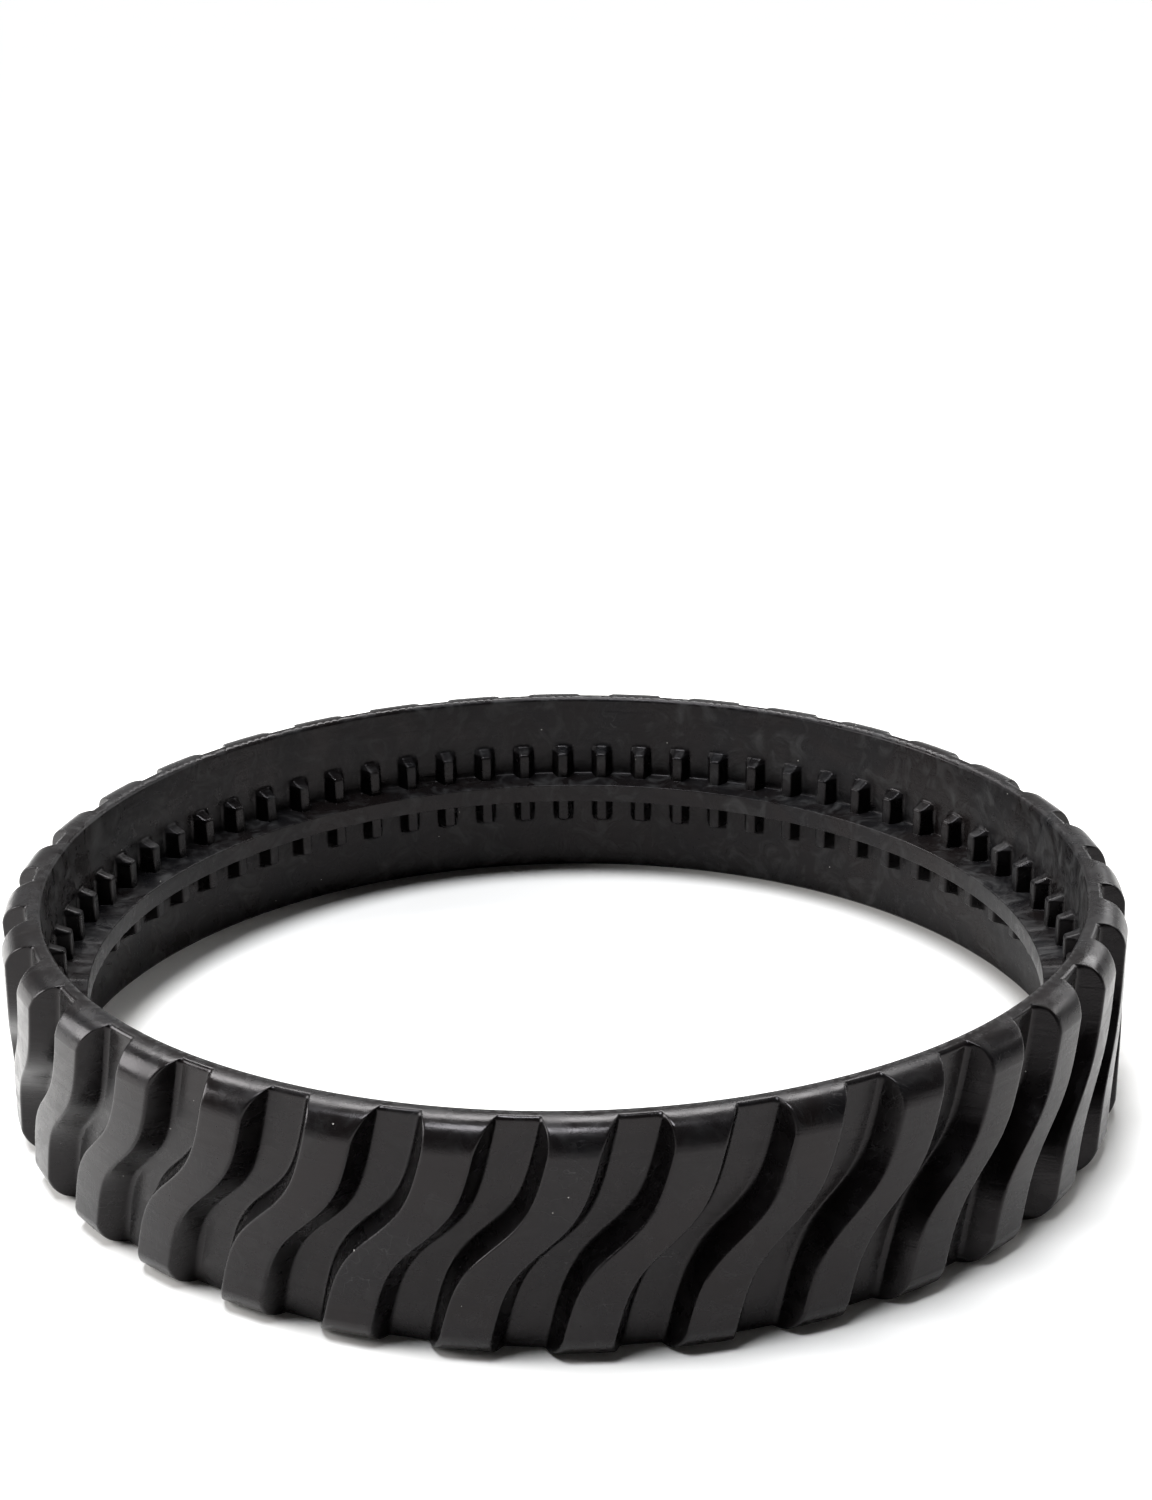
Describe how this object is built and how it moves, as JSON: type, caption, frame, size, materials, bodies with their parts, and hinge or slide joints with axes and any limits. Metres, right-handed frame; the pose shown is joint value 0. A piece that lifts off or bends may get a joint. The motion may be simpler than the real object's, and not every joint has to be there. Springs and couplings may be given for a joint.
{
  "type": "rubber track",
  "caption": "Endless moulded rubber track with S-shaped lugs outside, and a central guide rib between two rows of drive teeth inside.",
  "frame": {"origin": "centre of the round loop, on the plane of its lower rim", "axes": "+Z across the belt's width, from the lower rim to the upper; +X towards one end of the loop when it is pressed flat"},
  "size_m": [0.267, 0.267, 0.052],
  "materials": {
    "rubber": "satin black moulded rubber, matt on the lug tops and glossier on the rounded shoulders"
  },
  "bodies": {
    "links_17_18": {"track_link_17": "rubber", "track_link_18": "rubber"},
    "link_16": {"track_link_16": "rubber"},
    "link_15": {"track_link_15": "rubber"},
    "link_14": {"track_link_14": "rubber"},
    "link_13": {"track_link_13": "rubber"},
    "link_12": {"track_link_12": "rubber"},
    "link_11": {"track_link_11": "rubber"},
    "link_10": {"track_link_10": "rubber"},
    "link_09": {"track_link_09": "rubber"},
    "link_08": {"track_link_08": "rubber"},
    "link_07": {"track_link_07": "rubber"},
    "link_06": {"track_link_06": "rubber"},
    "link_05": {"track_link_05": "rubber"},
    "link_04": {"track_link_04": "rubber"},
    "link_03": {"track_link_03": "rubber"},
    "link_02": {"track_link_02": "rubber"},
    "link_01": {"track_link_01": "rubber"},
    "link_19": {"track_link_19": "rubber"},
    "link_20": {"track_link_20": "rubber"},
    "link_21": {"track_link_21": "rubber"},
    "link_22": {"track_link_22": "rubber"},
    "link_23": {"track_link_23": "rubber"},
    "link_24": {"track_link_24": "rubber"},
    "link_25": {"track_link_25": "rubber"},
    "link_26": {"track_link_26": "rubber"},
    "link_27": {"track_link_27": "rubber"},
    "link_28": {"track_link_28": "rubber"},
    "link_29": {"track_link_29": "rubber"},
    "link_30": {"track_link_30": "rubber"},
    "link_31": {"track_link_31": "rubber"},
    "link_32": {"track_link_32": "rubber"},
    "link_33": {"track_link_33": "rubber"},
    "link_34": {"track_link_34": "rubber"}
  },
  "joints": [
    {"name": "bend_16_17", "type": "hinge", "parent": "links_17_18", "child": "link_16", "pos_m": [-0.07107, 0.10374, 0.026], "axis": [0, 0, -1], "range_deg": [-3.79, 3.79], "stiffness_Nm_per_rad": 1.5},
    {"name": "bend_15_16", "type": "hinge", "parent": "link_16", "child": "link_15", "pos_m": [-0.05079, 0.11503, 0.026], "axis": [0, 0, -1], "range_deg": [-7.08, 7.08], "stiffness_Nm_per_rad": 1.5},
    {"name": "bend_14_15", "type": "hinge", "parent": "link_15", "child": "link_14", "pos_m": [-0.02879, 0.12241, 0.026], "axis": [0, 0, -1], "range_deg": [-9.4, 9.4], "stiffness_Nm_per_rad": 1.5},
    {"name": "bend_13_14", "type": "hinge", "parent": "link_14", "child": "link_13", "pos_m": [-0.00581, 0.12562, 0.026], "axis": [0, 0, -1], "range_deg": [-10.46, 10.46], "stiffness_Nm_per_rad": 1.5},
    {"name": "bend_12_13", "type": "hinge", "parent": "link_13", "child": "link_12", "pos_m": [0.01737, 0.12454, 0.026], "axis": [0, 0, -1], "range_deg": [-10.1, 10.1], "stiffness_Nm_per_rad": 1.5},
    {"name": "bend_11_12", "type": "hinge", "parent": "link_12", "child": "link_11", "pos_m": [0.03996, 0.11923, 0.026], "axis": [0, 0, -1], "range_deg": [-8.38, 8.38], "stiffness_Nm_per_rad": 1.5},
    {"name": "bend_10_11", "type": "hinge", "parent": "link_11", "child": "link_10", "pos_m": [0.06119, 0.10986, 0.026], "axis": [0, 0, -1], "range_deg": [-5.53, 5.53], "stiffness_Nm_per_rad": 1.5},
    {"name": "bend_09_10", "type": "hinge", "parent": "link_10", "child": "link_09", "pos_m": [0.08034, 0.09674, 0.026], "axis": [0, 0, -1], "range_deg": [-1.93, 1.93], "stiffness_Nm_per_rad": 1.5},
    {"name": "bend_08_09", "type": "hinge", "parent": "link_09", "child": "link_08", "pos_m": [0.09674, 0.08034, 0.026], "axis": [0, 0, -1], "range_deg": [-1.93, 1.93], "stiffness_Nm_per_rad": 1.5},
    {"name": "bend_07_08", "type": "hinge", "parent": "link_08", "child": "link_07", "pos_m": [0.10986, 0.06119, 0.026], "axis": [0, 0, -1], "range_deg": [-5.53, 5.53], "stiffness_Nm_per_rad": 1.5},
    {"name": "bend_06_07", "type": "hinge", "parent": "link_07", "child": "link_06", "pos_m": [0.11923, 0.03996, 0.026], "axis": [0, 0, -1], "range_deg": [-8.38, 8.38], "stiffness_Nm_per_rad": 1.5},
    {"name": "bend_05_06", "type": "hinge", "parent": "link_06", "child": "link_05", "pos_m": [0.12454, 0.01737, 0.026], "axis": [0, 0, -1], "range_deg": [-10.1, 10.1], "stiffness_Nm_per_rad": 1.5},
    {"name": "bend_04_05", "type": "hinge", "parent": "link_05", "child": "link_04", "pos_m": [0.12562, -0.00581, 0.026], "axis": [0, 0, -1], "range_deg": [-10.46, 10.46], "stiffness_Nm_per_rad": 1.5},
    {"name": "bend_03_04", "type": "hinge", "parent": "link_04", "child": "link_03", "pos_m": [0.12241, -0.02879, 0.026], "axis": [0, 0, -1], "range_deg": [-9.4, 9.4], "stiffness_Nm_per_rad": 1.5},
    {"name": "bend_02_03", "type": "hinge", "parent": "link_03", "child": "link_02", "pos_m": [0.11503, -0.05079, 0.026], "axis": [0, 0, -1], "range_deg": [-7.08, 7.08], "stiffness_Nm_per_rad": 1.5},
    {"name": "bend_01_02", "type": "hinge", "parent": "link_02", "child": "link_01", "pos_m": [0.10374, -0.07107, 0.026], "axis": [0, 0, -1], "range_deg": [-3.79, 3.79], "stiffness_Nm_per_rad": 1.5},
    {"name": "bend_18_19", "type": "hinge", "parent": "links_17_18", "child": "link_19", "pos_m": [-0.10374, 0.07107, 0.026], "axis": [0, 0, 1], "range_deg": [-3.79, 3.79], "stiffness_Nm_per_rad": 1.5},
    {"name": "bend_19_20", "type": "hinge", "parent": "link_19", "child": "link_20", "pos_m": [-0.11503, 0.05079, 0.026], "axis": [0, 0, 1], "range_deg": [-7.08, 7.08], "stiffness_Nm_per_rad": 1.5},
    {"name": "bend_20_21", "type": "hinge", "parent": "link_20", "child": "link_21", "pos_m": [-0.12241, 0.02879, 0.026], "axis": [0, 0, 1], "range_deg": [-9.4, 9.4], "stiffness_Nm_per_rad": 1.5},
    {"name": "bend_21_22", "type": "hinge", "parent": "link_21", "child": "link_22", "pos_m": [-0.12562, 0.00581, 0.026], "axis": [0, 0, 1], "range_deg": [-10.46, 10.46], "stiffness_Nm_per_rad": 1.5},
    {"name": "bend_22_23", "type": "hinge", "parent": "link_22", "child": "link_23", "pos_m": [-0.12454, -0.01737, 0.026], "axis": [0, 0, 1], "range_deg": [-10.1, 10.1], "stiffness_Nm_per_rad": 1.5},
    {"name": "bend_23_24", "type": "hinge", "parent": "link_23", "child": "link_24", "pos_m": [-0.11923, -0.03996, 0.026], "axis": [0, 0, 1], "range_deg": [-8.38, 8.38], "stiffness_Nm_per_rad": 1.5},
    {"name": "bend_24_25", "type": "hinge", "parent": "link_24", "child": "link_25", "pos_m": [-0.10986, -0.06119, 0.026], "axis": [0, 0, 1], "range_deg": [-5.53, 5.53], "stiffness_Nm_per_rad": 1.5},
    {"name": "bend_25_26", "type": "hinge", "parent": "link_25", "child": "link_26", "pos_m": [-0.09674, -0.08034, 0.026], "axis": [0, 0, 1], "range_deg": [-1.93, 1.93], "stiffness_Nm_per_rad": 1.5},
    {"name": "bend_26_27", "type": "hinge", "parent": "link_26", "child": "link_27", "pos_m": [-0.08034, -0.09674, 0.026], "axis": [0, 0, 1], "range_deg": [-1.93, 1.93], "stiffness_Nm_per_rad": 1.5},
    {"name": "bend_27_28", "type": "hinge", "parent": "link_27", "child": "link_28", "pos_m": [-0.06119, -0.10986, 0.026], "axis": [0, 0, 1], "range_deg": [-5.53, 5.53], "stiffness_Nm_per_rad": 1.5},
    {"name": "bend_28_29", "type": "hinge", "parent": "link_28", "child": "link_29", "pos_m": [-0.03996, -0.11923, 0.026], "axis": [0, 0, 1], "range_deg": [-8.38, 8.38], "stiffness_Nm_per_rad": 1.5},
    {"name": "bend_29_30", "type": "hinge", "parent": "link_29", "child": "link_30", "pos_m": [-0.01737, -0.12454, 0.026], "axis": [0, 0, 1], "range_deg": [-10.1, 10.1], "stiffness_Nm_per_rad": 1.5},
    {"name": "bend_30_31", "type": "hinge", "parent": "link_30", "child": "link_31", "pos_m": [0.00581, -0.12562, 0.026], "axis": [0, 0, 1], "range_deg": [-10.46, 10.46], "stiffness_Nm_per_rad": 1.5},
    {"name": "bend_31_32", "type": "hinge", "parent": "link_31", "child": "link_32", "pos_m": [0.02879, -0.12241, 0.026], "axis": [0, 0, 1], "range_deg": [-9.4, 9.4], "stiffness_Nm_per_rad": 1.5},
    {"name": "bend_32_33", "type": "hinge", "parent": "link_32", "child": "link_33", "pos_m": [0.05079, -0.11503, 0.026], "axis": [0, 0, 1], "range_deg": [-7.08, 7.08], "stiffness_Nm_per_rad": 1.5},
    {"name": "bend_33_34", "type": "hinge", "parent": "link_33", "child": "link_34", "pos_m": [0.07107, -0.10374, 0.026], "axis": [0, 0, 1], "range_deg": [-3.79, 3.79], "stiffness_Nm_per_rad": 1.5}
  ],
  "couplings": [
    {"joint": "bend_16_17", "follows": "bend_21_22", "ratio": -0.36279},
    {"joint": "bend_15_16", "follows": "bend_21_22", "ratio": -0.67658},
    {"joint": "bend_14_15", "follows": "bend_21_22", "ratio": -0.899},
    {"joint": "bend_13_14", "follows": "bend_21_22", "ratio": -1},
    {"joint": "bend_12_13", "follows": "bend_21_22", "ratio": -0.96595},
    {"joint": "bend_11_12", "follows": "bend_21_22", "ratio": -0.80144},
    {"joint": "bend_10_11", "follows": "bend_21_22", "ratio": -0.52869},
    {"joint": "bend_09_10", "follows": "bend_21_22", "ratio": -0.18454},
    {"joint": "bend_08_09", "follows": "bend_21_22", "ratio": 0.18454},
    {"joint": "bend_07_08", "follows": "bend_21_22", "ratio": 0.52869},
    {"joint": "bend_06_07", "follows": "bend_21_22", "ratio": 0.80144},
    {"joint": "bend_05_06", "follows": "bend_21_22", "ratio": 0.96595},
    {"joint": "bend_04_05", "follows": "bend_21_22", "ratio": 1},
    {"joint": "bend_03_04", "follows": "bend_21_22", "ratio": 0.899},
    {"joint": "bend_02_03", "follows": "bend_21_22", "ratio": 0.67658},
    {"joint": "bend_01_02", "follows": "bend_21_22", "ratio": 0.36279},
    {"joint": "bend_18_19", "follows": "bend_21_22", "ratio": 0.36279},
    {"joint": "bend_19_20", "follows": "bend_21_22", "ratio": 0.67658},
    {"joint": "bend_20_21", "follows": "bend_21_22", "ratio": 0.899},
    {"joint": "bend_22_23", "follows": "bend_21_22", "ratio": 0.96595},
    {"joint": "bend_23_24", "follows": "bend_21_22", "ratio": 0.80144},
    {"joint": "bend_24_25", "follows": "bend_21_22", "ratio": 0.52869},
    {"joint": "bend_25_26", "follows": "bend_21_22", "ratio": 0.18454},
    {"joint": "bend_26_27", "follows": "bend_21_22", "ratio": -0.18454},
    {"joint": "bend_27_28", "follows": "bend_21_22", "ratio": -0.52869},
    {"joint": "bend_28_29", "follows": "bend_21_22", "ratio": -0.80144},
    {"joint": "bend_29_30", "follows": "bend_21_22", "ratio": -0.96595},
    {"joint": "bend_30_31", "follows": "bend_21_22", "ratio": -1},
    {"joint": "bend_31_32", "follows": "bend_21_22", "ratio": -0.899},
    {"joint": "bend_32_33", "follows": "bend_21_22", "ratio": -0.67658},
    {"joint": "bend_33_34", "follows": "bend_21_22", "ratio": -0.36279}
  ]
}
